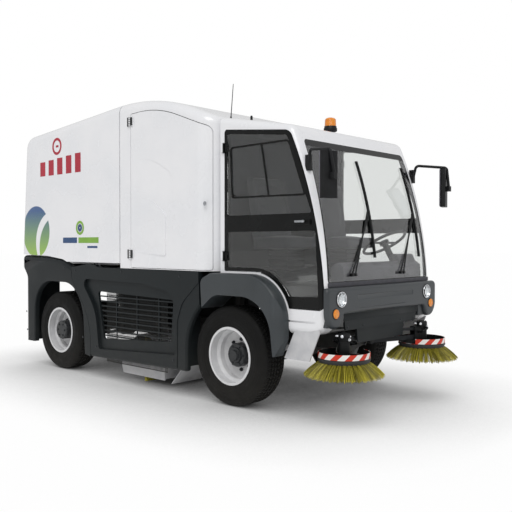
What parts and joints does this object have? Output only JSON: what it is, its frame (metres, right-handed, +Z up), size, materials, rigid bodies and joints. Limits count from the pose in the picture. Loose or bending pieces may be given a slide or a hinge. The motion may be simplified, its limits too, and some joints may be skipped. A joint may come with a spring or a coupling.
{
  "type": "street sweeper truck",
  "caption": "Compact street sweeper truck with tipping load box, front side brushes, roller broom, hinged cab and service doors and steered front wheels.",
  "frame": {"origin": "on the ground under the middle of the overall box", "axes": "+X forward, +Y to the driver's left, +Z up"},
  "size_m": [4.952, 2.0086, 2.8856],
  "materials": {
    "white": "gloss white paint",
    "dark_panel": "satin dark grey",
    "black": "satin black",
    "under_grey": "satin light grey",
    "rod_chrome": "polished",
    "glass": "dark tinted",
    "tyre": "matte",
    "rim_grey": "satin light grey",
    "bristle": "yellow bristle",
    "tank_plastic": "satin",
    "seat_cloth": "woven",
    "lamp": "clear and amber"
  },
  "bodies": {
    "chassis": {"engine_housing": "white", "cab_shell": "white", "side_panels": "dark_panel", "rear_fenders": "dark_panel", "front_fenders": "dark_panel", "front_bumper": "dark_panel", "frame_rails": "black", "crossmembers": "black", "body_subframe": "black", "front_axle": "black", "rear_axle": "black", "rear_bumper": "black", "wipers": "black", "mirrors": "black", "dashboard": "black", "steering_wheel": "black", "bumper_apron": "under_grey", "splash_plates": "under_grey", "broom_housing": "under_grey", "oil_coolers": "under_grey", "engine_block": "under_grey", "windscreen": "glass", "water_tank": "tank_plastic", "seats": "seat_cloth", "front_lamps": "lamp", "tail_lamps": "lamp", "roof_fittings": "lamp"},
    "knuckle_right": {"knuckle_right": "black"},
    "wheel_front_right": {"tyre_front_right": "tyre", "rim_front_right": "rim_grey"},
    "wheel_rear_right": {"tyre_rear_right": "tyre", "rim_rear_right": "rim_grey"},
    "knuckle_left": {"knuckle_left": "black"},
    "wheel_front_left": {"tyre_front_left": "tyre", "rim_front_left": "rim_grey"},
    "wheel_rear_left": {"tyre_rear_left": "tyre", "rim_rear_left": "rim_grey"},
    "tie_rod": {"tie_rod": "black"},
    "service_door_right": {"service_door_right": "white"},
    "cab_door_right": {"cab_door_right": "black", "cab_glass_right": "glass"},
    "service_door_left": {"service_door_left": "white"},
    "cab_door_left": {"cab_door_left": "black", "cab_glass_left": "glass"},
    "hopper": {"hopper": "white"},
    "hopper_door": {"hopper_door": "white"},
    "tip_barrels": {"tip_barrels": "under_grey"},
    "tip_rods": {"tip_rods": "rod_chrome"},
    "brush_arm_right": {"brush_arm_right": "under_grey"},
    "brush_link_right": {"brush_link_right": "under_grey"},
    "brush_head_right": {"brush_head_right": "black"},
    "side_brush_right": {"side_brush_right": "bristle"},
    "brush_arm_left": {"brush_arm_left": "under_grey"},
    "brush_link_left": {"brush_link_left": "under_grey"},
    "brush_head_left": {"brush_head_left": "black"},
    "side_brush_left": {"side_brush_left": "bristle"},
    "main_broom": {"main_broom": "bristle"}
  },
  "joints": [
    {"name": "steer_right", "type": "hinge", "parent": "chassis", "child": "knuckle_right", "pos_m": [1.137, -0.655, 0.445], "axis": [0, 0, 1], "range_deg": [-35, 35]},
    {"name": "spin_front_right", "type": "hinge", "parent": "knuckle_right", "child": "wheel_front_right", "pos_m": [1.137, -0.8185, 0.445], "axis": [0, 1, 0], "continuous": true},
    {"name": "spin_rear_right", "type": "hinge", "parent": "chassis", "child": "wheel_rear_right", "pos_m": [-1.637, -0.8185, 0.445], "axis": [0, 1, 0], "continuous": true},
    {"name": "steer_left", "type": "hinge", "parent": "chassis", "child": "knuckle_left", "pos_m": [1.137, 0.655, 0.445], "axis": [0, 0, 1], "range_deg": [-35, 35]},
    {"name": "spin_front_left", "type": "hinge", "parent": "knuckle_left", "child": "wheel_front_left", "pos_m": [1.137, 0.8185, 0.445], "axis": [0, 1, 0], "continuous": true},
    {"name": "spin_rear_left", "type": "hinge", "parent": "chassis", "child": "wheel_rear_left", "pos_m": [-1.637, 0.8185, 0.445], "axis": [0, 1, 0], "continuous": true},
    {"name": "track_rod_pivot", "type": "hinge", "parent": "knuckle_right", "child": "tie_rod", "pos_m": [0.997, -0.655, 0.328], "axis": [0, 0, 1], "range_deg": [-35, 35]},
    {"name": "service_hinge_right", "type": "hinge", "parent": "chassis", "child": "service_door_right", "pos_m": [-0.243, -0.9923, 1.985], "axis": [0, 0, -1], "range_deg": [0, 100]},
    {"name": "cab_hinge_right", "type": "hinge", "parent": "chassis", "child": "cab_door_right", "pos_m": [1.019, -0.899, 1.815], "axis": [0, 0, -1], "range_deg": [0, 75]},
    {"name": "service_hinge_left", "type": "hinge", "parent": "chassis", "child": "service_door_left", "pos_m": [-0.243, 0.9923, 1.985], "axis": [0, 0, 1], "range_deg": [0, 100]},
    {"name": "cab_hinge_left", "type": "hinge", "parent": "chassis", "child": "cab_door_left", "pos_m": [1.019, 0.899, 1.815], "axis": [0, 0, 1], "range_deg": [0, 75]},
    {"name": "hopper_tip", "type": "hinge", "parent": "chassis", "child": "hopper", "pos_m": [-2.403, 0, 1.15], "axis": [0, -1, 0], "range_deg": [0, 50]},
    {"name": "hopper_door_swing", "type": "hinge", "parent": "hopper", "child": "hopper_door", "pos_m": [-2.3949, 0, 2.57], "axis": [0, 1, 0], "range_deg": [0, 100]},
    {"name": "barrel_pivot", "type": "hinge", "parent": "chassis", "child": "tip_barrels", "pos_m": [-2.213, 0, 0.605], "axis": [0, -1, 0], "range_deg": [0, 30.8]},
    {"name": "rod_slide", "type": "slide", "parent": "tip_barrels", "child": "tip_rods", "axis": [0.7007, 0, 0.7134], "range_m": [0, 0.37]},
    {"name": "brush_lift_right", "type": "hinge", "parent": "chassis", "child": "brush_arm_right", "pos_m": [1.952, -0.06, 0.56], "axis": [0.9434, 0.3317, 0], "range_deg": [0, 41]},
    {"name": "brush_link_pivot_right", "type": "hinge", "parent": "chassis", "child": "brush_link_right", "pos_m": [1.952, -0.06, 0.64], "axis": [0.9434, 0.3317, 0], "range_deg": [0, 41]},
    {"name": "brush_level_right", "type": "hinge", "parent": "brush_arm_right", "child": "brush_head_right", "pos_m": [2.12115, -0.54109, 0.56], "axis": [0.9434, 0.3317, 0], "range_deg": [-41, 0]},
    {"name": "brush_spin_right", "type": "hinge", "parent": "brush_head_right", "child": "side_brush_right", "pos_m": [2.151, -0.626, 0.47], "axis": [0, 0, 1], "continuous": true},
    {"name": "brush_lift_left", "type": "hinge", "parent": "chassis", "child": "brush_arm_left", "pos_m": [1.952, 0.06, 0.56], "axis": [-0.9434, 0.3317, 0], "range_deg": [0, 41]},
    {"name": "brush_link_pivot_left", "type": "hinge", "parent": "chassis", "child": "brush_link_left", "pos_m": [1.952, 0.06, 0.64], "axis": [-0.9434, 0.3317, 0], "range_deg": [0, 41]},
    {"name": "brush_level_left", "type": "hinge", "parent": "brush_arm_left", "child": "brush_head_left", "pos_m": [2.12115, 0.54109, 0.56], "axis": [-0.9434, 0.3317, 0], "range_deg": [-41, 0]},
    {"name": "brush_spin_left", "type": "hinge", "parent": "brush_head_left", "child": "side_brush_left", "pos_m": [2.151, 0.626, 0.47], "axis": [0, 0, 1], "continuous": true},
    {"name": "main_broom_spin", "type": "hinge", "parent": "chassis", "child": "main_broom", "pos_m": [-0.253, 0, 0.25], "axis": [0, 1, 0], "continuous": true}
  ],
  "couplings": [
    {"joint": "steer_left", "follows": "steer_right", "ratio": 1},
    {"joint": "track_rod_pivot", "follows": "steer_right", "ratio": -1},
    {"joint": "barrel_pivot", "follows": "hopper_tip", "ratio": 0.6148},
    {"joint": "rod_slide", "follows": "hopper_tip", "m_per_rad": 0.4235},
    {"joint": "brush_link_pivot_right", "follows": "brush_lift_right", "ratio": 1},
    {"joint": "brush_level_right", "follows": "brush_lift_right", "ratio": -1},
    {"joint": "brush_link_pivot_left", "follows": "brush_lift_left", "ratio": 1},
    {"joint": "brush_level_left", "follows": "brush_lift_left", "ratio": -1}
  ]
}
